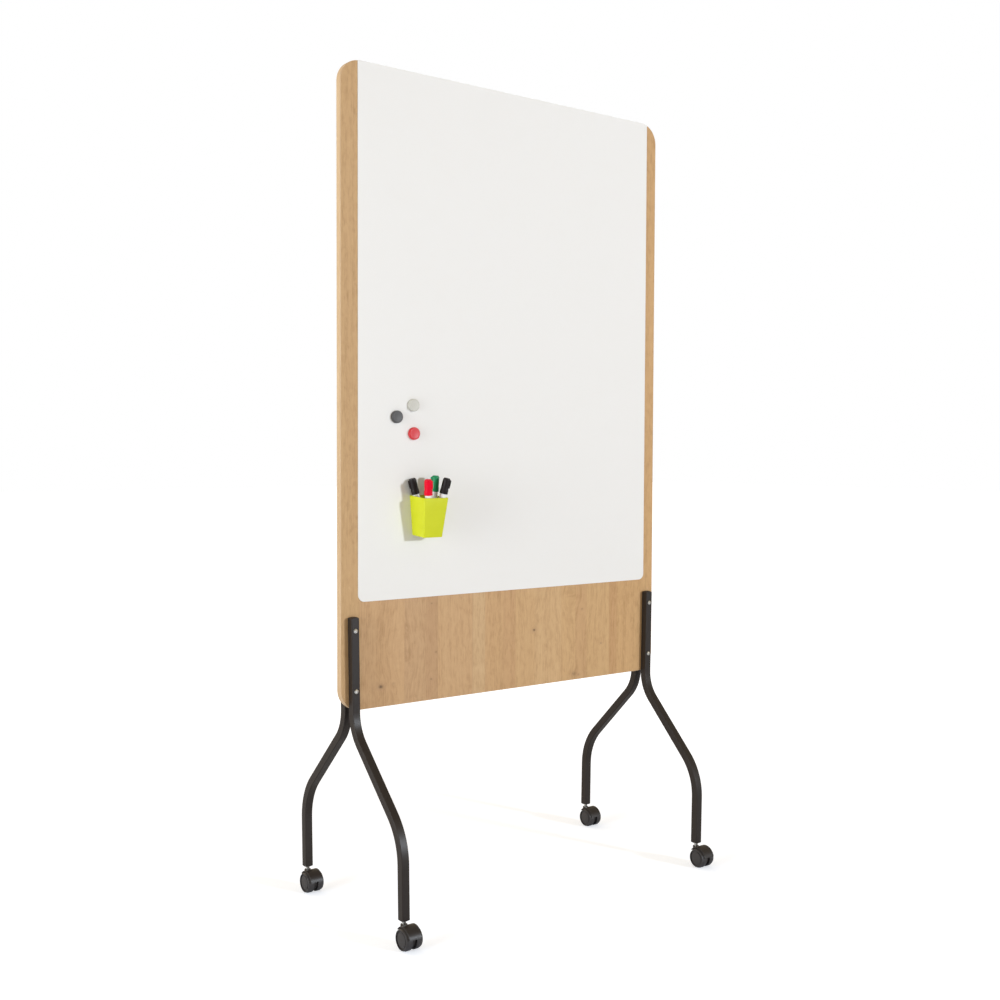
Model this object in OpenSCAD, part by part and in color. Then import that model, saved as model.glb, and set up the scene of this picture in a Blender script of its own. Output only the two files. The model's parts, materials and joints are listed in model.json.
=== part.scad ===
// Rolling whiteboard: a one-piece board on four bent tube legs with swivel casters.
// X runs along the board, +Y is away from the writing side, Z is up and the floor is z = 0.
// "left" and "right" are as seen from the writing side, "front" is the writing side.

/* [Board] */
// Width of the board
board_w = 990; // [900:10:1100]
// Height of the board, bottom edge to top edge
board_h = 1500; // [1300:10:1600]
// Thickness of the board
board_t = 18; // [16:1:22]
// Radius of the board's four corners
board_r = 51; // [40:1:60]
// Height of the board's bottom edge above the floor
board_z = 488; // [470:1:560]
// Thickness of the band glued around the board's edge
band_t = 1.5; // [1:0.5:2]

/* [Writing sheet] */
// Width of the writing sheet
sheet_w = 909; // [800:1:920]
// How far the sheet's middle sits to the right of the board's middle
sheet_shift = 5; // [0:1:6]
// Height of the sheet, down from the board's top edge
sheet_h = 1246.5; // [1000:0.5:1260]
// Radius of the sheet's bottom corners
sheet_r = 17; // [5:1:30]
// Thickness of the lacquered steel face
steel_t = 0.7; // [0.5:0.1:1]
// Thickness of the hardboard under the steel face
backing_t = 1.8; // [1.5:0.1:3]

/* [Legs] */
// Outside size of the square leg tube
tube = 20; // [18:1:22]
// Wall thickness of the leg tube
tube_wall = 1.5; // [1:0.5:2]
// Outside corner radius of the leg tube
tube_r = 2; // [2:0.5:4]
// Distance of the legs from the board's middle, along the board, between their two screws
leg_x = 466; // [420:1:470]
// Angle by which the legs lean in, so that the feet are closer together than the tops
toe_in = 0.8; // [0:0.1:1.5]
// Distance of the leg feet from the board's middle plane
leg_reach = 223; // [200:1:260]
// Length of leg tube lying against the board
leg_overlap = 217.5; // [200:0.5:240]
// Angle of the sloping stretch from the vertical
splay = 45; // [38:1:50]
// Centreline radius of the upper bend
upper_bend_r = 100; // [80:5:110]
// Centreline radius of the lower bend
lower_bend_r = 145; // [100:5:150]
// Height of the domed cap on top of a leg
cap_h = 4.5; // [3:0.5:6]

/* [Screws] */
// Diameter of the screws that clamp a front and a rear leg on the board
screw_d = 6; // [5:1:6]
// Diameter of the screw heads
head_d = 10.5; // [9.5:0.5:11]
// Height of the lower screw above the board's bottom edge
low_screw = 48.5; // [40:0.5:60]
// Height of the upper screw above the board's bottom edge
high_screw = 189.5; // [150:0.5:190]

/* [Casters] */
// Radius of the wheels
wheel_r = 25; // [24:0.5:25]
// Width of one wheel
wheel_w = 16; // [15.5:0.5:18]
// How far the axle trails behind the swivel axis
trail = 21; // [21:0.5:23]
// Thickness of the web between a caster's two wheels
web_t = 9; // [9:0.5:10]
// Width of the hood over the wheels
hood_w = 34; // [28:1:38]
// Thickness of the hood
hood_t = 2.8; // [2:0.2:3]
// Height of the top of the swivel neck above the floor
neck_z = 50; // [49:0.5:52]
// Height of the leg feet above the floor
foot_z = 58; // [57:1:62]

/* [Magnets] */
// Diameter of the round magnets
magnet_d = 30; // [24:1:36]
// Height of the round magnets
magnet_h = 8; // [7:0.5:10]

/* [Pen pot] */
// Outside width of the pot at its rim
pot_rim = 67.5; // [67.5:0.5:71]
// Outside width of the pot at its base
pot_base = 52; // [52:0.5:54]
// Height of the pot's back wall
pot_h = 95.5; // [90:0.5:98]
// Thickness of the pot's side and front walls
pot_wall = 2.2; // [1.8:0.1:2.2]
// Distance of the pot's middle from the board's middle, negative is left
pot_x = -275.3; // [-380:0.1:380]
// Height of the pot's base above the floor, at the sheet
pot_z = 893; // [780:1:1800]

/* [Markers] */
// Diameter of a marker barrel
barrel_d = 16; // [14:0.5:16]
// Length of barrel below the cap, for the two shorter markers
barrel_l = 98.5; // [98:0.5:110]
// Length of a marker cap
cap_l = 38; // [36:0.5:42]

/* [Hidden] */
$fn = 96;
fit_gap = 0.05;             // radial clearance of every running pin and bore
bed_gap = 0.3;              // clearance between a marker and the pot's floor

corner_names = ["front_left", "front_right", "rear_left", "rear_right"];
CORNERS = [[-1, -1], [1, -1], [-1, 1], [1, 1]];    // +1 is right, and +1 is rear

wood = "#c19a6b";
pale_wood = "#dcb98a";
white = "#ecebe6";
leg_black = "#3b3834";
plastic_black = "#26231f";
steel = "#c9c7c2";
lime = "#d4dc2c";
grey = "#c9c6b8";
dark_grey = "#55534f";
red = "#d81e2c";
green = "#1b7a4c";

board_top = board_z + board_h;
half_t = board_t / 2;
sheet_y = half_t + backing_t + steel_t;        // the writing surface, in front of the middle
leg_y = half_t + tube / 2;                     // leg tube's middle where it lies on the board
leg_top = board_z + leg_overlap;
sleeve_d = 8;

// a leg leans in about a point between its screws, so its foot is closer to the middle
pivot_z = board_z + (low_screw + high_screw) / 2;
foot_x = leg_x - (pivot_z - foot_z) * sin(toe_in);

// the leg's centreline: a straight, a bend, a slope, a bend and a straight
upper_tangent = upper_bend_r * tan(splay / 2);
lower_tangent = lower_bend_r * tan(splay / 2);
bend_start_z = board_z - 1.6;
upper_corner_z = bend_start_z - upper_tangent;
slope_run = leg_reach - leg_y;
lower_corner_z = upper_corner_z - slope_run / tan(splay);
slope_l = slope_run / sin(splay) - upper_tangent - lower_tangent;
lower_straight_z = lower_corner_z - lower_tangent;
hair = 0.01;
straight_overlap = 0.8;
flange_h = 2.5;                                // visible rim of the foot insert
plug_size = tube - 2 * tube_wall - 0.2;
plug_r = max(tube_r - tube_wall - 0.1, 0.5);

// casters
hood_in = wheel_r + 1;
hood_out = hood_in + hood_t;
hood_back_angle = 40;                          // where the hood ends, at the neck's side
hood_front_angle = 168;                        // where it ends at the other side, above the axle
web_back_angle = 54;                           // clear of the swivel bore
web_front_angle = 158;
side_gap = 0.8;
wheel_x = web_t / 2 + side_gap;
axle_d = 6;
axle_depth = wheel_w - 3;                      // how far the axle goes into a wheel
web_r = wheel_r - 5;
swivel_d = 7;
swivel_bottom = neck_z - 8.5;
neck_d = 16;
neck_l = 14;
stem_d = 8;
collar_d = 9.6;
collar_seat = 0.5;                             // how deep the collar sits in the foot insert
stem_top = foot_z + 26;
ring_z = foot_z + 18;
ring_h = 2;
ring_in = stem_d / 2 - 0.6;

// the pot hangs with its back wall upright, so its own axis tips forward by the taper
pot_taper = asin((pot_rim - pot_base) / 2 / pot_h);
pot_l = pot_h * cos(pot_taper);
pot_back = 3.4;
pot_gap = 0.05;                                // only the flat back plate touches the sheet
pot_floor = 2.5;
pot_edge_r = 2;
pot_magnet_d = 20;
pot_magnet_t = 1.9;
pot_magnet_zs = [30, 70];

// the markers: name, foot and rim places as [right of the pot's middle, forward of the
// sheet], colour, the way that the clip faces, as an angle about Z, and extra barrel length
markers = [
    ["black", [[2.8, 11.9], [-24.4, 12.7]], plastic_black, 170, 0],
    ["red", [[-5.8, 41.8], [-17.6, 57.4]], red, -60, 0],
    ["green", [[15.5, 22.2], [16, 32.5]], green, 160, 5.5],
    ["second_black", [[10.2, 37.8], [24.1, 58]], plastic_black, -30, 3.5],
];

// the round magnets: name, place as [right of the board's middle, above the floor], colour
magnets = [
    ["grey", [-299.7, 1203], grey],
    ["black", [-346, 1174.5], dark_grey],
    ["red", [-297.9, 1135.5], red],
];

// the origin is the middle of the floor area, and the casters trail to the front
front_reach = leg_reach + trail + hood_out;
rear_reach = leg_reach + tube / 2;
middle_y = (front_reach - rear_reach) / 2;

// ---- outlines and helpers ----

module rounded_square(w, h, r) {
    square([w - 2 * r, h], center = true);
    square([w, h - 2 * r], center = true);
    for (x = [-1, 1], y = [-1, 1])
        translate([x * (w / 2 - r), y * (h / 2 - r)]) circle(r);
}

// the board's outline, standing in the XZ plane, shrunk by inset
module board_outline(inset) {
    translate([0, board_z + board_h / 2])
        rounded_square(board_w - 2 * inset, board_h - 2 * inset, board_r - inset);
}

// an upright plate: the 2D outline's y becomes height, and it fills y from front to back
module upright(front, back) {
    translate([0, back, 0]) rotate([90, 0, 0]) linear_extrude(back - front) children();
}

// the sheet's outline: round at the bottom, and cut by the board's outline at the top
module sheet_outline() {
    run_past = 40;
    intersection() {
        translate([sheet_shift, board_top - sheet_h / 2 + run_past / 2])
            rounded_square(sheet_w, sheet_h + run_past, sheet_r);
        board_outline(0);
    }
}

// a bore or pin along Y, from y to y + l
module along_y(y, l, d) {
    translate([0, y, 0]) rotate([-90, 0, 0]) cylinder(d = d, h = l);
}

// local X, Y and Z become the row's Y, Z and X: for outlines seen from the side
module side_on() {
    rotate([90, 0, 90]) children();
}

// ---- board ----

// the frame of a leaning leg: its own x = 0 is the middle of the tube
module on_leg(side) {
    translate([side * leg_x, 0, pivot_z]) rotate([0, side * toe_in, 0])
        translate([0, 0, -pivot_z]) children();
}

module screw_places() {
    for (side = [-1, 1], z = [low_screw, high_screw])
        on_leg(side) translate([0, 0, board_z + z]) children();
}

module panel() {
    color(wood) difference() {
        upright(-half_t, half_t) board_outline(band_t);
        screw_places() along_y(-board_t, 2 * board_t, screw_d + 2 * fit_gap);
    }
}

module edge_band() {
    color(pale_wood) upright(-half_t, half_t) difference() {
        board_outline(0);
        board_outline(band_t);
    }
}

module sheet_backing() {
    color(dark_grey) upright(-half_t - backing_t, -half_t) sheet_outline();
}

module writing_sheet() {
    color(white) upright(-sheet_y, -half_t - backing_t) sheet_outline();
}

// ---- legs ----

// the tube's section; a slimmer one fits inside the wall of a full one
module tube_section(slimmer = 0) {
    outside = tube - 2 * slimmer;
    inside = outside - 2 * tube_wall;
    difference() {
        rounded_square(outside, outside, tube_r);
        rounded_square(inside, inside, tube_r - tube_wall);
    }
}

// a straight stretch from z = 0 up, a hair slimmer and running on into the bend at each end
module tube_straight(l) {
    translate([0, 0, -straight_overlap])
        linear_extrude(l + 2 * straight_overlap) tube_section(hair);
}

// a bend of the tube in the side view, about a centre, from one angle to another
module tube_bend(centre, r, from, turn) {
    side_on() translate(centre) rotate([0, 0, from])
        rotate_extrude(angle = turn) translate([r, 0]) tube_section();
}

// the rear leg's tube at x = 0; the front leg is its mirror image
module leg_tube() {
    foot_end = foot_z + flange_h;
    translate([0, leg_y, bend_start_z]) linear_extrude(leg_top - bend_start_z) tube_section();
    tube_bend([leg_y + upper_bend_r, bend_start_z], upper_bend_r, 180, splay);
    translate([0, leg_y, upper_corner_z]) rotate([splay, 0, 0])
        translate([0, 0, -upper_tangent - slope_l]) tube_straight(slope_l);
    tube_bend([leg_reach - lower_bend_r, lower_straight_z], lower_bend_r, 0, splay);
    translate([0, leg_reach, foot_end + straight_overlap])
        tube_straight(lower_straight_z - foot_end - straight_overlap);
}

module at_side(corner) {
    on_leg(corner[0]) mirror([0, corner[1] < 0 ? 1 : 0, 0]) children();
}

// a rear leg's far wall takes the sleeve of the nut, the other walls take the screw
module leg(corner) {
    color(leg_black) at_side(corner) difference() {
        leg_tube();
        for (z = [low_screw, high_screw]) translate([0, 0, board_z + z]) {
            along_y(half_t - 1, tube + 2, screw_d + 2 * fit_gap);
            if (corner[1] > 0) along_y(half_t + tube / 2, tube, sleeve_d + 2 * fit_gap);
        }
    }
}

// a domed end: the tube's outline, crowned by a sphere, with its top at z = h
module domed_end(h, sphere_r) {
    intersection() {
        linear_extrude(h) rounded_square(tube, tube, tube_r);
        translate([0, 0, h - sphere_r]) sphere(sphere_r);
    }
}

module leg_cap(corner) {
    color(plastic_black) at_side(corner) translate([0, leg_y, leg_top]) {
        domed_end(cap_h, 26);
        translate([0, 0, -12]) linear_extrude(12) rounded_square(plug_size, plug_size, plug_r);
    }
}

module at_foot(corner) {
    translate([corner[0] * foot_x, corner[1] * leg_reach, 0]) children();
}

// the insert leans with the leg, but its bores for the stem and the collar are upright
module foot_insert(corner) {
    color(plastic_black) difference() {
        at_side(corner) translate([0, leg_reach, foot_z + flange_h]) {
            mirror([0, 0, 1]) domed_end(flange_h, 50);
            linear_extrude(28) rounded_square(plug_size, plug_size, plug_r);
        }
        at_foot(corner) translate([0, 0, foot_z - 1]) {
            cylinder(d = stem_d + 2 * fit_gap, h = 28);
            cylinder(d = collar_d + 2 * fit_gap, h = 1 + collar_seat);
        }
    }
}

// ---- fasteners ----

// a domed head standing on y = 0 towards +Y, with a hexagon socket
module domed_head(d, h) {
    difference() {
        intersection() {
            along_y(0, h, d);
            translate([0, h - 7, 0]) sphere(7);
        }
        translate([0, h - 1.6, 0]) rotate([-90, 0, 0]) cylinder(d = 4.6, h = 2, $fn = 6);
    }
}

module through_screws() {
    color(steel) screw_places() {
        along_y(-half_t - tube, board_t + 2 * tube - 5, screw_d);
        translate([0, -half_t - tube, 0]) mirror([0, 1, 0]) domed_head(head_d, 2.8);
    }
}

module sleeve_nuts() {
    color(steel) screw_places() difference() {
        union() {
            along_y(half_t + 1.6, tube - 1.6, sleeve_d);
            translate([0, half_t + tube, 0]) domed_head(head_d, 2.8);
        }
        along_y(half_t, tube - 4, screw_d + 2 * fit_gap);
    }
}

// split rings that snap out inside the foot inserts and hold the stems in
module stem_snap_rings() {
    color(steel) for (c = CORNERS) at_foot(c) translate([0, 0, ring_z]) difference() {
        cylinder(r = stem_d / 2 + fit_gap - 0.01, h = ring_h);
        translate([0, 0, -1]) cylinder(r = ring_in + 0.05, h = ring_h + 2);
        translate([0, -0.6, -1]) cube([stem_d, 1.2, ring_h + 2]);
    }
}

// ---- casters ----

module caster_stem(corner) {
    color(steel) at_foot(corner) difference() {
        union() {
            translate([0, 0, swivel_bottom])
                cylinder(d = swivel_d, h = neck_z + side_gap - swivel_bottom);
            translate([0, 0, neck_z + side_gap])
                cylinder(d = collar_d, h = foot_z + collar_seat - neck_z - side_gap);
            translate([0, 0, foot_z]) cylinder(d = stem_d, h = stem_top - foot_z);
        }
        translate([0, 0, ring_z - 0.1]) difference() {
            cylinder(d = stem_d + 2, h = ring_h + 0.2);
            cylinder(r = ring_in, h = ring_h + 0.2);
        }
    }
}

module at_axle() {
    translate([0, -trail, wheel_r]) side_on() children();
}

// the hood's cross-section with round outer edges, to be trimmed inside by the wheels' space
module hood_section() {
    edge_r = 1.3;
    spare = 0.5;
    translate([hood_in - spare, -hood_w / 2 + edge_r])
        square([hood_t + spare, hood_w - 2 * edge_r]);
    translate([hood_in - spare, -hood_w / 2]) square([hood_t + spare - edge_r, hood_w]);
    for (y = [-1, 1]) translate([hood_out - edge_r, y * (hood_w / 2 - edge_r)]) circle(edge_r);
}

// the sector of the web under the hood, from beside the swivel bore to the front
module hood_sector(r) {
    intersection() {
        circle(r);
        polygon([[0, 0], 2 * r * [cos(web_back_angle), sin(web_back_angle)],
            [2 * r, 2 * r], [-2 * r, 2 * r],
            2 * r * [cos(web_front_angle), sin(web_front_angle)]]);
    }
}

module caster_housing(corner) {
    color(plastic_black) at_foot(corner) difference() {
        union() {
            difference() {
                union() {
                    at_axle() rotate([0, 0, hood_back_angle])
                        rotate_extrude(angle = hood_front_angle - hood_back_angle) hood_section();
                    translate([0, 0, neck_z - neck_l]) cylinder(d = neck_d, h = neck_l);
                }
                at_axle() translate([0, 0, -hood_w])
                    cylinder(r = hood_in, h = 2 * hood_w);
            }
            at_axle() linear_extrude(web_t, center = true) {
                circle(web_r);
                hood_sector(hood_in + hood_t / 2);
            }
        }
        translate([0, 0, neck_z - neck_l - 1])
            cylinder(d = swivel_d + 2 * fit_gap, h = neck_l + 2);
        at_axle() translate([0, 0, -web_t])
            cylinder(d = axle_d + 2 * fit_gap, h = 2 * web_t);
    }
}

module caster_axle(corner) {
    half_l = wheel_x + axle_depth;
    color(steel) at_foot(corner) at_axle() translate([0, 0, -half_l])
        cylinder(d = axle_d, h = 2 * half_l);
}

// half the outline of a wheel: tread, chamfered rim and the groove round the hub disc
module wheel_outline(hub_r) {
    difference() {
        polygon([[0, 0], [wheel_r - 0.7, 0], [wheel_r, 0.7], [wheel_r, wheel_w - 6],
            [wheel_r - 2, wheel_w - 0.6], [wheel_r - 2.6, wheel_w], [web_r + 0.5, wheel_w],
            [web_r + 0.5, wheel_w - 2.6], [hub_r, wheel_w - 2.6], [hub_r, wheel_w - 1.4],
            [0, wheel_w - 1.4]]);
        translate([9.5, -1]) square([10, 8]);
    }
}

// a wheel with its inner face at z = 0 and its hub disc outwards
module wheel() {
    hub_r = 16.3;
    difference() {
        union() {
            rotate_extrude() wheel_outline(hub_r);
            translate([0, 0, wheel_w - 1.5]) intersection() {
                cylinder(r = hub_r, h = 1.5);
                translate([0, 0, 1.5 - 120]) sphere(120);
            }
        }
        translate([0, 0, -1]) cylinder(d = axle_d + 2 * fit_gap, h = axle_depth + 1.3);
    }
}

module caster_wheel(corner, side) {
    color(plastic_black) at_foot(corner) at_axle()
        mirror([0, 0, side < 0 ? 1 : 0]) translate([0, 0, wheel_x]) wheel();
}

// ---- round magnets ----

module at_sheet(place) {
    translate([place[0], -sheet_y, place[1]]) rotate([90, 0, 0]) children();
}

module magnet_shell(place, colour) {
    edge_r = 2.6;
    dish = 0.5;
    dish_r = magnet_d / 2 - 4.5;
    sphere_r = (dish_r * dish_r + dish * dish) / (2 * dish);
    color(colour) at_sheet(place) difference() {
        rotate_extrude() {
            square([magnet_d / 2, magnet_h - edge_r]);
            square([magnet_d / 2 - edge_r, magnet_h]);
            translate([magnet_d / 2 - edge_r, magnet_h - edge_r]) intersection() {
                circle(edge_r);
                square(edge_r);
            }
        }
        translate([0, 0, magnet_h + sphere_r - dish]) sphere(sphere_r);
        translate([0, 0, -1]) cylinder(d = magnet_d - 7 + 2 * fit_gap, h = 5);
    }
}

module magnet_disc(place) {
    color(dark_grey) at_sheet(place) cylinder(d = magnet_d - 7, h = 3.9);
}

// ---- pen pot ----

// the pot's own frame: x along the sheet, y away from its back wall, z up its axis
module at_pot() {
    translate([pot_x, -sheet_y - pot_gap, pot_z]) rotate([pot_taper, 0, 0]) mirror([0, 1, 0]) children();
}

// a square outline with round corners as one polygon, for the taper
module rounded_outline(w, r) {
    steps = 8;
    polygon([for (k = [0:3], i = [0:steps])
        let (a = 90 * (k + i / steps), right = k == 0 || k == 3 ? 1 : -1, far = k < 2 ? 1 : -1)
        (w / 2 - r) * [right, far] + r * [cos(a), sin(a)]]);
}

// a four-sided taper from base to rim width, with its back wall's foot on y = 0
module pot_body(base, rim, l, r) {
    translate([0, pot_base / 2, 0])
        linear_extrude(l, scale = rim / base) rounded_outline(base, r);
}

module pen_pot() {
    slope = (pot_rim - pot_base) / pot_l;
    inner_base = pot_base + pot_floor * slope - 2 * pot_wall;
    inner_rim = pot_rim + slope - 2 * pot_wall;
    color(lime) difference() {
        union() {
            at_pot() difference() {
                pot_body(pot_base, pot_rim, pot_l, pot_edge_r);
                translate([0, 0, pot_floor])
                    pot_body(inner_base, inner_rim, pot_l - pot_floor + 1, 1.5);
            }
            translate([pot_x - pot_base / 2 + 5, -sheet_y - pot_back, pot_z + 2])
                cube([pot_base - 10, pot_back, pot_h - 5]);
        }
        for (z = pot_magnet_zs) translate([pot_x, 0, pot_z + z])
            along_y(-sheet_y - pot_magnet_t - 0.1, 5, pot_magnet_d + 0.2);
    }
}

module pen_pot_magnets() {
    color(dark_grey) for (z = pot_magnet_zs) translate([pot_x, 0, pot_z + z])
        along_y(-sheet_y - pot_magnet_t, pot_magnet_t, pot_magnet_d);
}

// ---- markers ----

function unit(v) = v / norm(v);

// a marker's direction, from the pot's floor up to the rim
function marker_dir(place) = unit([place[1][0] - place[0][0], place[0][1] - place[1][1], pot_h]);

// the middle of a marker's foot, just clear of the pot's sloping floor
function marker_foot(place) =
    let (axis = [0, -sin(pot_taper), cos(pot_taper)],
         lean = acos(axis * marker_dir(place)),
         above = pot_floor + bed_gap + barrel_d / 2 * sin(lean))
    [pot_x + place[0][0], -sheet_y - place[0][1],
     pot_z + (above - place[0][1] * sin(pot_taper)) / cos(pot_taper)];

// a marker's own frame: z along its axis from its foot, and x towards its cap's clip
module at_marker(place, clip_angle) {
    d = marker_dir(place);
    turn = atan2(d[1], d[0]);
    translate(marker_foot(place)) rotate([0, acos(d[2]), turn])
        rotate([0, 0, clip_angle - turn]) children();
}

// the barrel: a round foot, a plain body, and a thinner collar inside the cap
module marker_barrel(place, body_l) {
    foot_r = 1.5;
    color(white) at_marker(place, 0) difference() {
        rotate_extrude() {
            translate([0, foot_r]) square([barrel_d / 2, body_l - foot_r]);
            square([barrel_d / 2 - foot_r, foot_r]);
            translate([barrel_d / 2 - foot_r, foot_r]) intersection() {
                circle(foot_r);
                translate([0, -foot_r]) square(foot_r);
            }
            translate([0, body_l]) square([5.4, 20]);
        }
        translate([0, 0, body_l + 12]) cylinder(d = 5 + 2 * fit_gap, h = 10);
    }
}

module marker_nib(place, body_l, colour) {
    color(colour) at_marker(place, 0) translate([0, 0, body_l + 12]) {
        cylinder(d = 5, h = 11.5);
        translate([0, 0, 11.5]) sphere(d = 5);
    }
}

// the cap: a flared skirt, a body with a stepped crown, and a clip that stops short of the skirt
module marker_cap(place, body_l, colour, clip_angle) {
    body_r = barrel_d / 2 + 1.2;
    skirt_r = barrel_d / 2 + 2;
    skirt_h = 11;
    crown_h = 2.5;
    clip_gap = 2;
    color(colour) at_marker(place, clip_angle) translate([0, 0, body_l]) difference() {
        union() {
            cylinder(r = skirt_r, h = skirt_h);
            translate([0, 0, skirt_h]) cylinder(r1 = skirt_r, r2 = body_r, h = 1.5);
            cylinder(r = body_r, h = cap_l - crown_h);
            translate([0, 0, cap_l - crown_h])
                cylinder(r1 = body_r - 1, r2 = body_r - 1.8, h = crown_h);
            translate([0, -3.5, skirt_h + 1.5 + clip_gap])
                cube([skirt_r + 1.2, 7, cap_l - crown_h - skirt_h - 1.5 - clip_gap - 1]);
        }
        translate([0, 0, -1]) cylinder(d = 10.8 + 2 * fit_gap, h = 22);
        translate([0, 0, 20]) cylinder(d = 7, h = 9.5);
    }
}

// ---- every node, by name ----

module placed() {
    translate([0, middle_y, 0]) children();
}

placed() panel();
placed() edge_band();
placed() sheet_backing();
placed() writing_sheet();
placed() through_screws();
placed() sleeve_nuts();
placed() stem_snap_rings();

for (i = [0:3]) {
    c = CORNERS[i];
    at = corner_names[i];
    placed() leg(c);
    placed() leg_cap(c);
    placed() foot_insert(c);
    placed() caster_stem(c);
    placed() caster_housing(c);
    placed() caster_axle(c);
    placed() caster_wheel(c, -1);
    placed() caster_wheel(c, 1);
}

for (m = magnets) {
    placed() magnet_shell(m[1], m[2]);
    placed() magnet_disc(m[1]);
}

placed() pen_pot();
placed() pen_pot_magnets();

for (m = markers) {
    body_l = barrel_l + m[4];
    placed() marker_barrel(m[1], body_l);
    placed() marker_nib(m[1], body_l, m[2]);
    placed() marker_cap(m[1], body_l, m[2], m[3]);
}
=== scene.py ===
import json
import math

import bmesh
import bpy
from mathutils import Matrix, Vector


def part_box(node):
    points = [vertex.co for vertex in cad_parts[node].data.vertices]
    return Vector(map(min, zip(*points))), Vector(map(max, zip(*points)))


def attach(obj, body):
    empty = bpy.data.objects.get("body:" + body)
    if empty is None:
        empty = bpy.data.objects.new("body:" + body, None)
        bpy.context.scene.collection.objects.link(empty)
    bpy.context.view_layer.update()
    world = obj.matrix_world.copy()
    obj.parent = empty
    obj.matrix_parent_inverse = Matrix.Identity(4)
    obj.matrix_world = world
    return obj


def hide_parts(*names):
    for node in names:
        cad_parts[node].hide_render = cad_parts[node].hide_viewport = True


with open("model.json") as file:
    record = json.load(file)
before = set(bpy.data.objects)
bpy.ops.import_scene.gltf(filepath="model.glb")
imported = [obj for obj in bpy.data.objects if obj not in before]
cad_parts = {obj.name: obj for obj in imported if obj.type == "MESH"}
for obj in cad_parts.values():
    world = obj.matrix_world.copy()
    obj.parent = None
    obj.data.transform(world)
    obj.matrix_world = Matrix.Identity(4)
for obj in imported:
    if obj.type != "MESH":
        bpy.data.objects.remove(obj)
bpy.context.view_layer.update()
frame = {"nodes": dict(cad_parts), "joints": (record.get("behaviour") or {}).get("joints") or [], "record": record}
nodes = frame["nodes"]
joints = {j["name"]: j for j in frame["joints"]}
panel_lo, panel_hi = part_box("panel")
board_lo, board_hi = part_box("edge_band")
panel_mid_y = (panel_lo.y + panel_hi.y) / 2
MM = 0.001

# the photograph's view, fitted to the board's and the legs' edges; the camera's
# place is counted from the board's middle plane and its bottom edge
CAMERA_YAW, CAMERA_PITCH, CAMERA_ROLL = 36.977, 2.258, 0.219  # degrees
CAMERA_X, CAMERA_Y, CAMERA_Z = -1.9045, -2.4903, 0.6057
CAMERA_LENS, CAMERA_SENSOR = 44.343, 36  # mm

# the studio's soft light: an even dim part, and lobes as (direction, power, falloff)
WORLD_COLOUR = (1.05, 0.865, 0.62)
WORLD_DIM = 0.18
WORLD_LOBES = [
    ((0.50, -0.85, 0.10), 0.40, 1.0),
    ((-0.62, 0.78, 0.10), 1.15, 2.0),
    ((0.35, 0.90, 0.25), 0.42, 1.0),
]

# the board's print: vertical staves as (left edge in mm, colour)
STAVES = [
    (-500, (0.510, 0.320, 0.156)), (-446, (0.522, 0.322, 0.165)), (-322, (0.510, 0.319, 0.170)),
    (-262, (0.470, 0.286, 0.149)), (-226, (0.528, 0.330, 0.170)), (-120, (0.550, 0.360, 0.192)),
    (-84, (0.528, 0.326, 0.162)), (-26, (0.510, 0.309, 0.153)), (14, (0.535, 0.335, 0.165)),
    (76, (0.555, 0.355, 0.180)), (163, (0.545, 0.341, 0.166)), (214, (0.515, 0.314, 0.153)),
    (252, (0.540, 0.338, 0.163)), (336, (0.500, 0.294, 0.137)), (362, (0.545, 0.333, 0.156)),
]
# thin dark joint lines lie at some staves' left edges, in mm
SEAMS = (-322, -226, -120, 14, 163, 336)
SEAM_HALF_WIDTH = 0.0007  # as a share of the board's width
# knots as (x in mm, height above the board's bottom edge in mm, radius in mm, darkness)
KNOTS = [
    (-387, 48, 6.5, 0.85), (-352, 52, 4.0, 0.22), (-230, 116, 3.5, 0.40), (-244, 51, 3.5, 0.42),
    (76, 144, 4.5, 0.85), (239, 187, 3.0, 0.35), (307, 89, 4.0, 0.32), (212, 16, 9.0, 0.42),
    (228, 12, 5.0, 0.30), (-243, 236, 3.0, 0.35),
]
# swirls part the grain like a knot, without its dark core
SWIRLS = [(225, 217, 22.0, 0.0), (190, 232, 14.0, 0.0), (-330, 128, 20.0, 0.0), (60, 250, 16.0, 0.0)]
REAR_SHIFT = 0.73  # metres that the print is shifted by on the board's rear side
STAVE_SHIFT = 40  # metres of grain between staves whose tones differ by 1
WANDER = 0.030  # metres that the grain wanders sideways
KNOT_STRETCH = 0.62  # squeezes heights, so that the grain bends round a tall oval
CORE_FLATNESS = 5.0  # makes a knot's core and halo wider than they are tall


# ---- camera, light and floor ----

def make_camera():
    """The photograph's view, turned by yaw, pitch and roll."""
    cam = bpy.data.objects.new("camera", bpy.data.cameras.new("camera"))
    bpy.context.scene.collection.objects.link(cam)
    yaw, pitch, roll = (math.radians(a) for a in (CAMERA_YAW, CAMERA_PITCH, CAMERA_ROLL))
    look = Vector((math.sin(yaw) * math.cos(pitch), math.cos(yaw) * math.cos(pitch), -math.sin(pitch)))
    level = Vector((math.cos(yaw), -math.sin(yaw), 0))
    rise = level.cross(look)
    right = level * math.cos(roll) + rise * math.sin(roll)
    up = rise * math.cos(roll) - level * math.sin(roll)
    place = Matrix((right, up, -look)).transposed().to_4x4()
    place.translation = Vector((CAMERA_X, panel_mid_y + CAMERA_Y, board_lo.z + CAMERA_Z))
    cam.matrix_world = place
    cam.data.sensor_width = CAMERA_SENSOR
    cam.data.lens = CAMERA_LENS
    bpy.context.scene.camera = cam


def make_light(name, place, aim, size, power, colour):
    light = bpy.data.lights.new(name, "AREA")
    light.shape = "DISK"
    light.size = size
    light.energy = power
    light.color = colour
    lamp = bpy.data.objects.new(name, light)
    bpy.context.scene.collection.objects.link(lamp)
    lamp.location = place
    lamp.rotation_euler = (Vector(aim) - Vector(place)).to_track_quat("-Z", "Y").to_euler()


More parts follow.
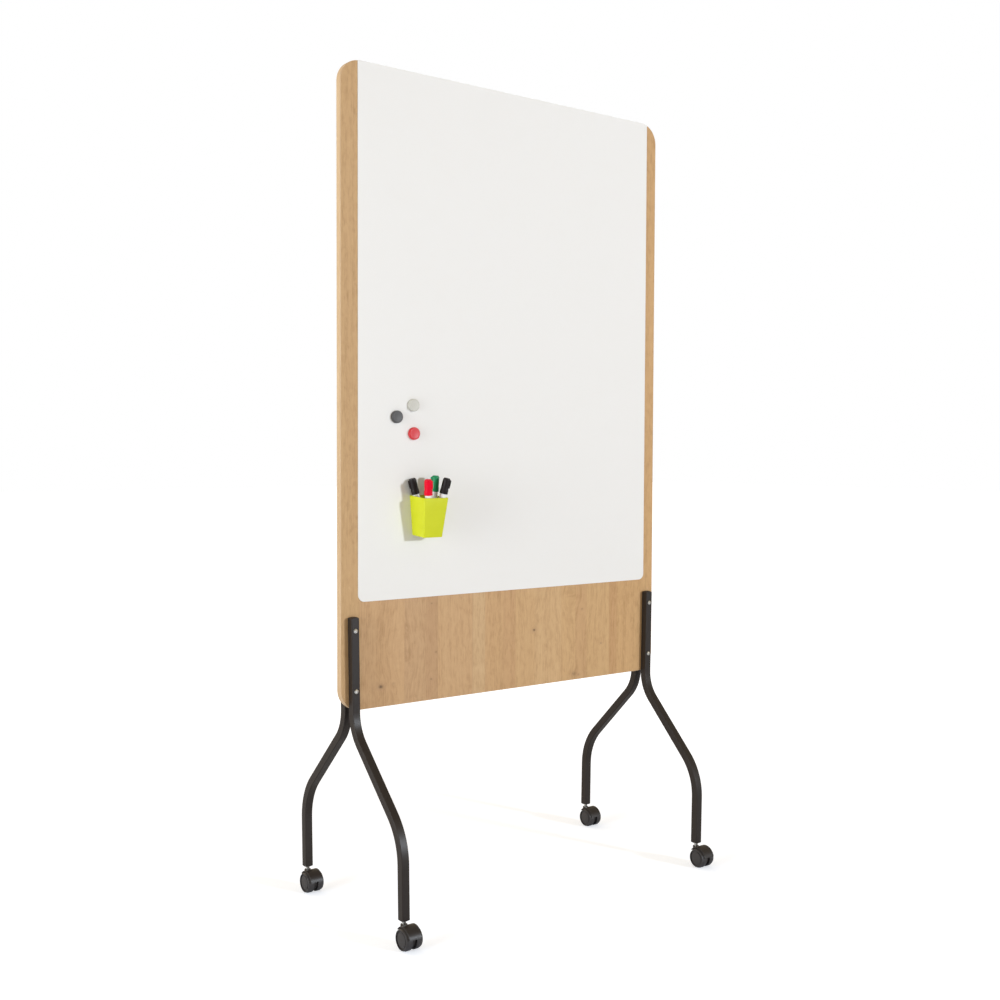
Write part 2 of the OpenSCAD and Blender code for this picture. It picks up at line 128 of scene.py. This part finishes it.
def make_world():
    """A studio that the camera sees as plain white, and that lights the object softly and warmly."""
    world = bpy.data.worlds.new("studio")
    bpy.context.scene.world = world
    world.use_nodes = True
    tree = world.node_tree
    link = tree.links.new
    tree.nodes.clear()
    out = tree.nodes.new("ShaderNodeOutputWorld")
    mixer = tree.nodes.new("ShaderNodeMixShader")
    lit = tree.nodes.new("ShaderNodeBackground")
    seen = tree.nodes.new("ShaderNodeBackground")
    path = tree.nodes.new("ShaderNodeLightPath")
    coord = tree.nodes.new("ShaderNodeTexCoord")
    strength = WORLD_DIM
    for towards, power, falloff in WORLD_LOBES:
        dot = tree.nodes.new("ShaderNodeVectorMath")
        dot.operation = "DOT_PRODUCT"
        dot.inputs[1].default_value = towards
        link(coord.outputs["Generated"], dot.inputs[0])
        value = dot.outputs["Value"]
        steps = [("MAXIMUM", 0.0), ("POWER", falloff), ("MULTIPLY", power), ("ADD", strength)]
        for operation, other in steps:
            made = tree.nodes.new("ShaderNodeMath")
            made.operation = operation
            link(value, made.inputs[0])
            if isinstance(other, float):
                made.inputs[1].default_value = other
            else:
                link(other, made.inputs[1])
            value = made.outputs[0]
        strength = value
    link(strength, lit.inputs["Strength"])
    lit.inputs["Color"].default_value = (*WORLD_COLOUR, 1)
    seen.inputs["Color"].default_value = (1, 1, 1, 1)
    link(path.outputs["Is Camera Ray"], mixer.inputs[0])
    link(lit.outputs[0], mixer.inputs[1])
    link(seen.outputs[0], mixer.inputs[2])
    link(mixer.outputs[0], out.inputs[0])


def make_floor():
    mesh = bpy.data.meshes.new("studio_floor")
    bm = bmesh.new()
    bmesh.ops.create_grid(bm, x_segments=4, y_segments=4, size=30)
    bm.to_mesh(mesh)
    bm.free()
    floor = bpy.data.objects.new("studio_floor", mesh)
    bpy.context.scene.collection.objects.link(floor)
    mesh.materials.append(floor_material())


# ---- a material's nodes ----

class Graph:
    """A node material around one Principled shader, written with short calls."""

    def __init__(self, name, **settings):
        self.material = bpy.data.materials.new(name)
        self.material.use_nodes = True
        self.tree = self.material.node_tree
        self.shader = self.tree.nodes["Principled BSDF"]
        self.place = self.node("ShaderNodeTexCoord").outputs["Object"]
        self.set(**settings)

    def node(self, kind, inputs=None, **settings):
        made = self.tree.nodes.new(kind)
        for key, value in settings.items():
            setattr(made, key, value)
        for key, value in (inputs or {}).items():
            self.feed(made.inputs[key], value)
        return made

    def feed(self, socket, value):
        """Links a socket to another one, or gives it a number or a colour."""
        if isinstance(value, bpy.types.NodeSocket):
            self.tree.links.new(value, socket)
        elif hasattr(socket.default_value, "__len__") and len(socket.default_value) == 4 and len(value) == 3:
            socket.default_value = (*value, 1)
        else:
            socket.default_value = value

    def set(self, **settings):
        """Feeds the shader's inputs, named as in base_color or specular_ior_level."""
        for key, value in settings.items():
            self.feed(self.shader.inputs[key.replace("_", " ").title().replace("Ior", "IOR")], value)

    def math(self, operation, *values, clamp=False):
        made = self.node("ShaderNodeMath", operation=operation, use_clamp=clamp)
        for socket, value in zip(made.inputs, values):
            self.feed(socket, value)
        return made.outputs[0]

    def add(self, first, second):
        return self.math("ADD", first, second)

    def times(self, first, second, clamp=False):
        return self.math("MULTIPLY", first, second, clamp=clamp)

    def swing(self, value, amount):
        """A noise's swing about its middle, times an amount."""
        return self.times(self.math("SUBTRACT", value, 0.5), amount)

    def bell(self, square, radius):
        """A bell curve over a squared distance."""
        return self.math("EXPONENT", self.times(square, -1 / radius ** 2))

    def noise(self, scale, vector=None, detail=2.0, roughness=0.5, distortion=0.0):
        """Noise over the place, or over another vector, stretched by a scale for each axis."""
        stretched = self.node("ShaderNodeVectorMath", operation="MULTIPLY_ADD")
        self.feed(stretched.inputs[0], vector or self.place)
        stretched.inputs[1].default_value = scale if isinstance(scale, tuple) else (scale, scale, scale)
        stretched.inputs[2].default_value = (0, 0, 0)
        made = self.node("ShaderNodeTexNoise", {
            "Vector": stretched.outputs[0], "Scale": 1.0, "Detail": detail, "Roughness": roughness,
            "Distortion": distortion})
        return made.outputs["Fac"]

    def span(self, value, low, high, to_low=0.0, to_high=1.0, smooth=False):
        kind = "SMOOTHSTEP" if smooth else "LINEAR"
        made = self.node("ShaderNodeMapRange", {"Value": value, "From Min": low, "From Max": high,
                                                "To Min": to_low, "To Max": to_high}, interpolation_type=kind)
        return made.outputs["Result"]

    def ramp(self, value, stops, kind="LINEAR"):
        made = self.node("ShaderNodeValToRGB", {"Fac": value})
        made.color_ramp.interpolation = kind
        band = made.color_ramp.elements
        while len(band) < len(stops):
            band.new(0.5)
        for element, (at, colour) in zip(band, stops):
            element.position = at
            element.color = (*colour, 1)
        return made.outputs["Color"]

    def mix(self, factor, first, second, blend="MIX"):
        made = self.node("ShaderNodeMix", data_type="RGBA", blend_type=blend)
        self.feed(made.inputs[0], factor)
        self.feed(made.inputs[6], first)
        self.feed(made.inputs[7], second)
        return made.outputs[2]

    def bump(self, height, distance, strength=1.0):
        made = self.node("ShaderNodeBump", {"Height": height, "Distance": distance, "Strength": strength})
        self.feed(self.shader.inputs["Normal"], made.outputs[0])


# ---- materials ----

def part_the_grain(g, x, z):
    """The grain's sideways place, which wanders slowly and parts round the knots, and their cores and halos."""
    bent = g.add(x, g.swing(g.noise((5, 3, 1.4), roughness=0.45), WANDER))
    cores = halos = None
    for knot_x, knot_z, radius, darkness in KNOTS + SWIRLS:
        dx = g.math("SUBTRACT", x, knot_x * MM)
        dz = g.times(g.math("SUBTRACT", z, knot_z * MM), KNOT_STRETCH)
        dx_square, dz_square = g.times(dx, dx), g.times(dz, dz)
        near = g.bell(g.add(dx_square, dz_square), radius * 2.6 * MM)
        bent = g.math("SUBTRACT", bent, g.times(g.times(dx, near), 0.75))
        if darkness:
            flattened = g.add(dx_square, g.times(dz_square, CORE_FLATNESS))
            core = g.times(g.bell(flattened, radius * 0.80 * MM), darkness)
            halo = g.times(g.bell(flattened, radius * 2.4 * MM), darkness)
            cores = core if cores is None else g.math("MAXIMUM", cores, core)
            halos = halo if halos is None else g.math("MAXIMUM", halos, halo)
    return bent, cores, halos


def oak():
    """A print of oak staves with knots under melamine; the rear side has its own stretch of grain."""
    g = Graph("oak_melamine", Specular_IOR_Level=0.18)
    x, y, z = g.node("ShaderNodeSeparateXYZ", {"Vector": g.place}).outputs
    behind = g.math("GREATER_THAN", y, panel_mid_y)
    z = g.add(g.math("SUBTRACT", z, board_lo.z), g.times(behind, REAR_SHIFT))
    bent, cores, halos = part_the_grain(g, x, z)
    flow = g.node("ShaderNodeCombineXYZ", {"X": bent, "Y": g.times(behind, 3.0), "Z": z}).outputs[0]

    # each stave has its own tone, and its own stretch of grain
    width = board_hi.x - board_lo.x
    across = g.span(x, board_lo.x, board_hi.x)
    stops = [(max(0.0, (left * MM - board_lo.x) / width), colour) for left, colour in STAVES]
    tone = g.ramp(across, stops, "CONSTANT")
    shift = g.times(g.node("ShaderNodeSeparateColor", {"Color": tone}).outputs[0], STAVE_SHIFT)
    along = g.node("ShaderNodeCombineXYZ", {"X": 0.0, "Y": 0.0, "Z": shift}).outputs[0]
    grain = g.node("ShaderNodeVectorMath", {0: flow, 1: along}, operation="ADD").outputs[0]

    # light and dark: (noise scale, detail, roughness, distortion, amount)
    fibre = g.noise((1300, 60, 30), grain, 4, 0.62)
    level = g.swing(fibre, 0.42)
    for scale, detail, roughness, distortion, amount in (
            ((260, 20, 3.5), 3, 0.55, 0.0, 0.40), ((62, 6, 1.1), 2, 0.5, 0.35, 0.42),
            ((11, 5, 3.2), 3, 0.55, 0.0, 0.30), ((330, 30, 26), 3, 0.6, 0.0, 0.62),
            ((95, 12, 42), 3, 0.6, 0.5, 0.60)):
        level = g.add(level, g.swing(g.noise(scale, grain, detail, roughness, distortion), amount))
    shade = g.ramp(g.add(level, 0.5), [
        (0.0, (0.62, 0.55, 0.47)), (0.38, (0.90, 0.88, 0.85)), (0.5, (1.0, 1.0, 1.0)),
        (0.72, (1.07, 1.09, 1.12)), (1.0, (1.18, 1.22, 1.28))])
    colour = g.mix(1.0, tone, shade, "MULTIPLY")

    # pores, pale rays, knots and the joint lines
    pores = g.span(g.noise((1900, 90, 60), grain), 0.60, 0.72, smooth=True)
    rays = g.span(g.noise((120, 20, 46), grain, 3, 0.6), 0.63, 0.75, smooth=True)
    colour = g.mix(g.times(pores, 0.28), colour, (0.30, 0.175, 0.085))
    colour = g.mix(g.times(rays, 0.16), colour, (0.72, 0.52, 0.32))
    ragged = g.noise((420, 40, 200), flow, 3, 0.6)
    halos = g.times(halos, g.span(ragged, 0.2, 0.8, 0.35, 1.0))
    cores = g.times(cores, g.span(ragged, 0.25, 0.6, 0.6, 1.15), clamp=True)
    colour = g.mix(g.times(halos, 0.55, clamp=True), colour, (0.33, 0.19, 0.10))
    colour = g.mix(cores, colour, (0.085, 0.048, 0.035))
    seams = []
    for left in SEAMS:
        at = (left * MM - board_lo.x) / width
        seams += [(at - SEAM_HALF_WIDTH, (0, 0, 0)), (at, (1, 1, 1)), (at + SEAM_HALF_WIDTH, (0, 0, 0))]
    colour = g.mix(g.times(g.ramp(across, seams), 0.16), colour, (0.20, 0.115, 0.06))
    g.set(Base_Color=colour, Roughness=g.span(fibre, 0.3, 0.7, 0.50, 0.62))
    g.bump(g.math("SUBTRACT", g.times(fibre, 0.5), g.times(pores, 0.9)), 0.06 * MM, 0.6)
    return g.material


def edging():
    """The band's print runs along the board's edge, so its streaks vary only across the band."""
    g = Graph("oak_edging", Specular_IOR_Level=0.4)
    streak = g.noise((9, 900, 9), detail=4, roughness=0.6)
    soft = g.noise((14, 120, 14))
    level = g.add(g.times(streak, 0.6), g.times(soft, 0.4))
    colour = g.ramp(level, [(0.25, (0.44, 0.290, 0.160)), (0.5, (0.53, 0.368, 0.218)),
                            (0.75, (0.60, 0.435, 0.275))])
    # where the band turns to the board's faces, it takes their colour
    turned = g.node("ShaderNodeSeparateXYZ", {"Vector": g.node("ShaderNodeTexCoord").outputs["Normal"]})
    facing = g.span(g.math("ABSOLUTE", turned.outputs[1]), 0.55, 0.9, smooth=True)
    colour = g.mix(g.times(facing, 0.75), colour, (0.52, 0.335, 0.18))
    g.set(Base_Color=colour, Roughness=g.span(streak, 0.3, 0.7, 0.36, 0.48))
    g.bump(streak, 0.04 * MM, 0.5)
    return g.material


def hardboard():
    """Hardboard with a coat of white priming paint, which the fibres still show through."""
    g = Graph("hardboard", Specular_IOR_Level=0.2)
    fibre = g.noise((400, 1500, 400), detail=5, roughness=0.7)
    colour = g.ramp(fibre, [(0.3, (0.68, 0.65, 0.60)), (0.7, (0.78, 0.75, 0.70))])
    g.set(Base_Color=colour, Roughness=0.85)
    g.bump(fibre, 0.2 * MM, 0.7)
    return g.material


def lacquer():
    """A coil-coated steel writing face: nearly even, with the faintest wave and dry-wipe haze."""
    g = Graph("white_lacquer", Specular_IOR_Level=0.06)
    wave = g.noise((3.2, 1, 2.4))
    haze = g.noise((5, 1, 14), detail=5, roughness=0.65, distortion=0.8)
    haze = g.span(haze, 0.48, 0.80, smooth=True)
    peel = g.noise(700)
    colour = g.mix(g.times(haze, 0.16), (0.788, 0.770, 0.742), (0.762, 0.746, 0.719))
    g.set(Base_Color=colour, Roughness=g.span(haze, 0, 1, 0.42, 0.52))
    g.bump(g.add(g.times(wave, 12), g.times(peel, 0.04)), 0.04 * MM, 0.5)
    return g.material


def powder_coat():
    g = Graph("black_powder_coat", Specular_IOR_Level=0.31)
    peel = g.noise(1300, roughness=0.6)
    cloud = g.noise(14, detail=3)
    grit = g.span(g.noise(2600, detail=1), 0.62, 0.74, smooth=True)
    colour = g.mix(cloud, (0.0175, 0.0125, 0.0100), (0.0230, 0.0170, 0.0140))
    colour = g.mix(g.times(grit, 0.35), colour, (0.050, 0.043, 0.038))
    g.set(Base_Color=colour, Roughness=g.span(peel, 0.3, 0.7, 0.34, 0.47))
    g.bump(peel, 0.12 * MM, 0.55)
    return g.material


def moulded(name, dark, light, rough, grain=900, specular=0.4):
    """Moulded plastic: fine spark-eroded grain, faint flow marks and small handling marks."""
    g = Graph(name, Specular_IOR_Level=specular)
    fine = g.noise(grain, detail=3, roughness=0.6)
    flow = g.noise((28, 28, 60), detail=3, distortion=0.6)
    scuff = g.noise((60, 60, 340), detail=4, roughness=0.7)
    scuff = g.span(scuff, 0.62, 0.78, smooth=True)
    colour = g.mix(g.add(g.times(flow, 0.75), g.times(fine, 0.25)), dark, light)
    roughness = g.add(g.span(fine, 0.3, 0.7, rough - 0.04, rough + 0.05), g.times(scuff, 0.10))
    g.set(Base_Color=colour, Roughness=roughness)
    g.bump(fine, 0.06 * MM, 0.5)
    return g.material


def zinc():
    g = Graph("zinc_steel", Metallic=1.0)
    brushed = g.noise((300, 3000, 300), detail=3)
    stain = g.noise(250, detail=3)
    colour = g.mix(stain, (0.62, 0.61, 0.58), (0.80, 0.79, 0.76))
    g.set(Base_Color=colour, Roughness=g.span(brushed, 0.3, 0.7, 0.22, 0.38))
    g.bump(brushed, 0.03 * MM, 0.4)
    return g.material


def ferrite():
    g = Graph("ferrite", Metallic=0.3)
    grit = g.noise(1500, detail=4, roughness=0.7)
    g.set(Base_Color=g.mix(grit, (0.028, 0.028, 0.030), (0.065, 0.065, 0.07)), Roughness=0.6)
    g.bump(grit, 0.1 * MM, 0.6)
    return g.material


def felt(name, colour):
    g = Graph(name, Sheen_Weight=0.4, Roughness=0.95)
    fibre = g.noise((2500, 2500, 1200), detail=4, roughness=0.7)
    g.set(Base_Color=g.mix(fibre, tuple(c * 0.5 for c in colour), colour))
    g.bump(fibre, 0.3 * MM, 0.8)
    return g.material


def floor_material():
    """Plain pale studio floor: it glows a little, so that only the faintest shadow is left on it."""
    g = Graph("studio_floor", Base_Color=(0.672, 0.735, 0.86), Roughness=0.9, Specular_IOR_Level=0.0)
    seen = g.node("ShaderNodeLightPath").outputs["Is Camera Ray"]
    away = g.node("ShaderNodeVectorMath", {0: g.place}, operation="LENGTH").outputs["Value"]
    glow = g.span(away, 0.6, 2.6, 0.528, 0.82)
    g.set(Emission_Color=(1.0, 1.0, 1.0), Emission_Strength=g.times(seen, glow))
    return g.material


# moulded plastics as name: (dark colour, light colour, roughness, other settings)
PLASTICS = {
    "black_plastic": ((0.0135, 0.0105, 0.0100), (0.0225, 0.0180, 0.0170), 0.42, {}),
    # the wheels' plastic: lighter than the housing's, partly its own grey; its cool tint is a painted reflection
    # of the cool key light
    "wheel_plastic_and_painted_sheen": ((0.025, 0.0225, 0.0235), (0.038, 0.0345, 0.0360), 0.38,
                      {"grain": 700, "specular": 0.5}),
    "grey_plastic": ((0.50, 0.485, 0.43), (0.57, 0.555, 0.495), 0.42, {"specular": 0.25}),
    "charcoal_plastic": ((0.060, 0.057, 0.056), (0.085, 0.081, 0.080), 0.42, {"specular": 0.28}),
    "red_plastic": ((0.54, 0.026, 0.032), (0.64, 0.040, 0.046), 0.36, {"specular": 0.3}),
    "lime_plastic": ((0.550, 0.575, 0.009), (0.620, 0.650, 0.016), 0.40, {"grain": 650, "specular": 0.30}),
    "white_plastic": ((0.78, 0.77, 0.75), (0.84, 0.83, 0.81), 0.34, {}),
    "cap_black_plastic": ((0.0095, 0.0065, 0.0060), (0.017, 0.0125, 0.0115), 0.38, {"specular": 0.22}),
    "cap_red_plastic": ((0.66, 0.001, 0.017), (0.76, 0.002, 0.026), 0.42, {"specular": 0.12}),
    "cap_green_plastic": ((0.006, 0.19, 0.068), (0.011, 0.265, 0.098), 0.36, {"specular": 0.3}),
}
FELTS = {"black_felt": (0.03, 0.03, 0.03), "red_felt": (0.5, 0.02, 0.04), "green_felt": (0.02, 0.25, 0.12)}
materials = {
    "oak_melamine": oak(),
    "oak_edging": edging(),
    "hardboard": hardboard(),
    "white_lacquer": lacquer(),
    "black_powder_coat": powder_coat(),
    "zinc_steel": zinc(),
    "ferrite": ferrite(),
}
for name, (dark, light, rough, settings) in PLASTICS.items():
    materials[name] = moulded(name, dark, light, rough, **settings)
for name, colour in FELTS.items():
    materials[name] = felt(name, colour)


# ---- mesh helpers ----

def new_piece(name, bm, body, slot, stands_for, smooth_angle):
    """Turns a bmesh, already in the row frame, into a piece that rides on a body."""
    mesh = bpy.data.meshes.new(name)
    bmesh.ops.recalc_face_normals(bm, faces=bm.faces)
    bm.to_mesh(mesh)
    bm.free()
    piece = bpy.data.objects.new(name, mesh)
    bpy.context.scene.collection.objects.link(piece)
    soften(piece, smooth_angle)
    mesh.materials.append(materials[slot])
    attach(piece, body)
    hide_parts(*stands_for)


def soften(obj, angle=35):
    """Smooth shading, with hard edges only where the surface turns by more than the angle."""
    obj.data.polygons.foreach_set("use_smooth", [True] * len(obj.data.polygons))
    obj.data.set_sharp_from_angle(angle=math.radians(angle))


def bevel(obj, width):
    """Rounds an object's hard edges."""
    mod = obj.modifiers.new("round_edges", "BEVEL")
    mod.width = width
    mod.segments = 2
    mod.limit_method = "ANGLE"
    mod.angle_limit = math.radians(40)
    mod.use_clamp_overlap = True
    mod.harden_normals = True


def bridge(bm, rings):
    """Skins between closed rings that have the same number of points."""
    made = [[bm.verts.new(p) for p in ring] for ring in rings]
    n = len(made[0])
    for low, high in zip(made, made[1:]):
        for i in range(n):
            j = (i + 1) % n
            bm.faces.new((low[i], low[j], high[j], high[i]))
    return made


def quarter(steps):
    """The angles of a quarter turn, in equal steps from 0."""
    return [math.pi / 2 * i / steps for i in range(steps + 1)]


def rounded_loop(half_w, half_h, radius, steps):
    """A rounded rectangle's points and outward directions, anticlockwise from the right."""
    points, ways = [], []
    for k, (sx, sy) in enumerate(((1, 1), (-1, 1), (-1, -1), (1, -1))):
        for i in range(steps + 1):
            a = math.radians(90 * (k + i / steps))
            way = Vector((math.cos(a), math.sin(a)))
            points.append(Vector((sx * (half_w - radius), sy * (half_h - radius))) + way * radius)
            ways.append(way)
    return points, ways


# ---- pieces ----

def make_edge_band():
    """The band round the board's edge, with softly rounded outer edges."""
    thickness, edge_r, corner_r = 1.5 * MM, 0.9 * MM, 51 * MM
    half_w = (board_hi.x - board_lo.x) / 2
    half_h = (board_hi.z - board_lo.z) / 2
    mid_z = (board_hi.z + board_lo.z) / 2
    points, ways = rounded_loop(half_w, half_h, corner_r, steps=40)
    y0, y1 = board_lo.y, board_hi.y
    profile = [(thickness, y0)]
    profile += [(edge_r - edge_r * math.sin(a), y0 + edge_r - edge_r * math.cos(a)) for a in quarter(5)]
    profile += [(edge_r - edge_r * math.cos(a), y1 - edge_r + edge_r * math.sin(a)) for a in quarter(5)]
    profile.append((thickness, y1))
    bm = bmesh.new()
    made = bridge(bm, [[(p.x - w.x * inset, y, mid_z + p.y - w.y * inset) for p, w in zip(points, ways)]
                       for inset, y in profile])
    n = len(points)
    for i in range(n):
        j = (i + 1) % n
        bm.faces.new((made[-1][i], made[-1][j], made[0][j], made[0][i]))
    new_piece("edge_band_rounded", bm, "root", "oak_edging", ["edge_band"], smooth_angle=50)


def make_pen_pot():
    """The pot: four tapered walls with a flat upright back, a round lip and a closed floor."""
    lo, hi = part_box("pen_pot")
    base, rim, height = 52 * MM, 67.5 * MM, 95.5 * MM
    wall, back, floor, gap = 2.2 * MM, 3.4 * MM, 2.5 * MM, 0.05 * MM
    foot, lip, corner, rim_corner = 1.2 * MM, 0.9 * MM, 2.0 * MM, 2.2 * MM
    centre_x = (lo.x + hi.x) / 2
    taper = math.asin((rim - base) / 2 / height)
    tall = height * math.cos(taper)
    slope = (rim - base) / tall
    extra = back - wall

    def place(x, y, z):
        """From the pot's own axes, in which it stands straight, to the row frame, where its back is upright."""
        return Vector((centre_x + x, hi.y - gap - y * math.cos(taper) - z * math.sin(taper),
                       hi.z - height - y * math.sin(taper) + z * math.cos(taper)))

    def ring(z, inset, radius, thicker_back=0.0):
        half = (base + slope * z) / 2 - inset
        points, _ = rounded_loop(half, half, radius, steps=6)
        limit = -half + thicker_back
        return [place(p.x, base / 2 + max(p.y, limit), z) for p in points]

    # from the round foot up the outside, over the lip and down the inside
    rings = [ring(foot - foot * math.cos(a), foot - foot * math.sin(a), corner) for a in quarter(4)]
    rings += [ring(tall * part, 0, corner) for part in (0.25, 0.5, 0.75)]
    rings += [ring(tall - lip + lip * math.sin(a), lip - lip * math.cos(a), rim_corner) for a in quarter(4)]
    rings += [ring(tall - lip + lip * math.cos(a), wall - lip + lip * math.sin(a), rim_corner, extra * i / 4)
              for i, a in enumerate(quarter(4)) if i]
    rings += [ring(floor + (tall - floor) * part, wall, corner, extra) for part in (0.66, 0.33)]
    rings.append(ring(floor + 1.0 * MM, wall, corner, extra))
    rings.append(ring(floor, wall + 0.8 * MM, 1.6 * MM, extra))
    bm = bmesh.new()
    made = bridge(bm, rings)
    bm.faces.new(list(reversed(made[0])))
    bm.faces.new(made[-1])
    new_piece("pen_pot_body", bm, "pen_pot", "lime_plastic", ["pen_pot"], smooth_angle=50)


# a marker cap's outline and its clip, in mm
CAP_BORE = 5.45
CAP_BORE_DEPTH = 29.0
CAP_BODY_RADIUS = 9.2
CAP_OUTLINE = [  # (radius, height above the skirt's foot)
    (CAP_BORE, 0.4), (CAP_BORE, 0.04), (9.4, 0.04), (9.8, 0.18), (10.0, 0.6), (10.0, 3.0), (9.86, 3.3),
    (9.86, 3.7), (10.0, 4.0), (9.9, 9.0), (9.62, 10.4), (9.3, 11.6), (CAP_BODY_RADIUS, 12.6),
    (CAP_BODY_RADIUS, 20.0), (CAP_BODY_RADIUS, 33.6), (9.12, 34.6), (8.85, 35.2), (8.2, 35.5), (7.9, 35.6),
    (7.75, 35.9), (7.5, 37.2), (7.2, 37.75), (6.7, 38.0), (4.0, 38.0), (1.5, 37.9),
]
CLIP_HALF_WIDTH = 3.4
CLIP_EDGE_RADIUS = 0.9
CLIP_PATH = [  # (height, distance of its top from the axis, share of the full width)
    (14.6, 10.6, 0.55), (15.2, 11.0, 0.8), (20.0, 11.2, 1.0), (28.0, 11.2, 1.0), (33.0, 11.1, 1.0),
    (34.4, 10.7, 0.95), (34.9, 10.0, 0.85),
]
CAP_FACETS = 64


def barrel_foot(node, axis):
    """The middle of the foot of a turned CAD node that lies along an axis."""
    side = axis.cross(Vector((0, 1, 0))).normalized()
    other = axis.cross(side)
    spans = [[v.co.dot(way) for v in nodes[node].data.vertices] for way in (side, other, axis)]
    foot = side * (min(spans[0]) + max(spans[0])) / 2 + other * (min(spans[1]) + max(spans[1])) / 2
    return foot + axis * min(spans[2])


def make_cap(name, slot, clip_degrees, body_length):
    """A marker cap: flared skirt with one fine groove, stepped crown and a round-edged clip."""
    axis = Vector(joints[name + "_marker_lift"]["axis"]).normalized()
    turn = math.radians(clip_degrees)
    flat = Vector((math.cos(turn), math.sin(turn), 0))
    out = (flat - axis * flat.dot(axis)).normalized()
    side = axis.cross(out)
    origin = barrel_foot(name + "_marker_barrel", axis) + axis * body_length * MM

    def place(height, outward, sideways):
        return origin + axis * height * MM + out * outward * MM + side * sideways * MM

    def turned(outline):
        angles = [2 * math.pi * i / CAP_FACETS for i in range(CAP_FACETS)]
        return [[place(h, r * math.cos(a), r * math.sin(a)) for a in angles] for r, h in outline]

    bm = bmesh.new()
    outside = bridge(bm, turned(CAP_OUTLINE))
    bm.faces.new(outside[-1])
    inside = bridge(bm, turned([(CAP_BORE, 0.4), (CAP_BORE, CAP_BORE_DEPTH)]))
    bm.faces.new(list(reversed(inside[-1])))
    bmesh.ops.remove_doubles(bm, verts=bm.verts, dist=1e-7)

    # the clip: a tongue from the crown down, standing proud of the body
    tongue = []
    for height, top, share in CLIP_PATH:
        half = CLIP_HALF_WIDTH * share
        r = CLIP_EDGE_RADIUS
        section = [(top - r + r * math.cos(a), half - r + r * math.sin(a)) for a in quarter(3)]
        section.append((CAP_BODY_RADIUS - 1.2, half))
        section += [(outward, -sideways) for outward, sideways in reversed(section)]
        tongue.append([place(height, outward, sideways) for outward, sideways in section])
    made = bridge(bm, tongue)
    bm.faces.new(list(reversed(made[0])))
    bm.faces.new(made[-1])
    cad_cap = name + "_marker_cap"
    new_piece(name + "_cap_shell", bm, cad_cap, slot, [cad_cap], smooth_angle=32)


# ---- the scene ----

make_camera()
make_world()
bpy.context.scene.view_settings.view_transform = "Standard"
board_middle = (0, panel_mid_y, 1.15)
make_light("key", (3.4, panel_mid_y - 8.5, 2.55), board_middle,
           size=0.75, power=480, colour=(0.88, 0.96, 1.06))
make_light("side", (-5.2, panel_mid_y - 0.66, 1.3), board_middle,
           size=2.8, power=178, colour=(0.94, 1.02, 1.07))
make_floor()

# the CAD pieces: a material each, and rounded edges, in mm, by the start of the name
ROUNDED = {
    "leg_cap_": 0.5, "foot_insert_": 0.4, "caster_housing_": 0.5, "caster_stem_": 0.2,
    "left_wheel_": 0.45, "right_wheel_": 0.45, "writing_sheet": 0.25, "through_screws": 0.15,
    "sleeve_nuts": 0.15,
}
slots = {part["node"]: part["material_slot"] for part in frame["record"]["subparts"]}
for node_name, node in nodes.items():
    # the wheels take a lighter copy of the black plastic, with a painted cool reflection in its colour
    slot_name = "wheel_plastic_and_painted_sheen" if "_wheel_" in node_name else slots[node_name]
    node.data.materials.clear()
    node.data.materials.append(materials[slot_name])
    soften(node)
    for start, width in ROUNDED.items():
        if node_name.startswith(start):
            bevel(node, width * MM)

make_edge_band()
make_pen_pot()
make_cap("black", "cap_black_plastic", 170, 98.5)
make_cap("red", "cap_red_plastic", -60, 98.5)
make_cap("green", "cap_green_plastic", 160, 104.0)
make_cap("second_black", "cap_black_plastic", -30, 102.0)
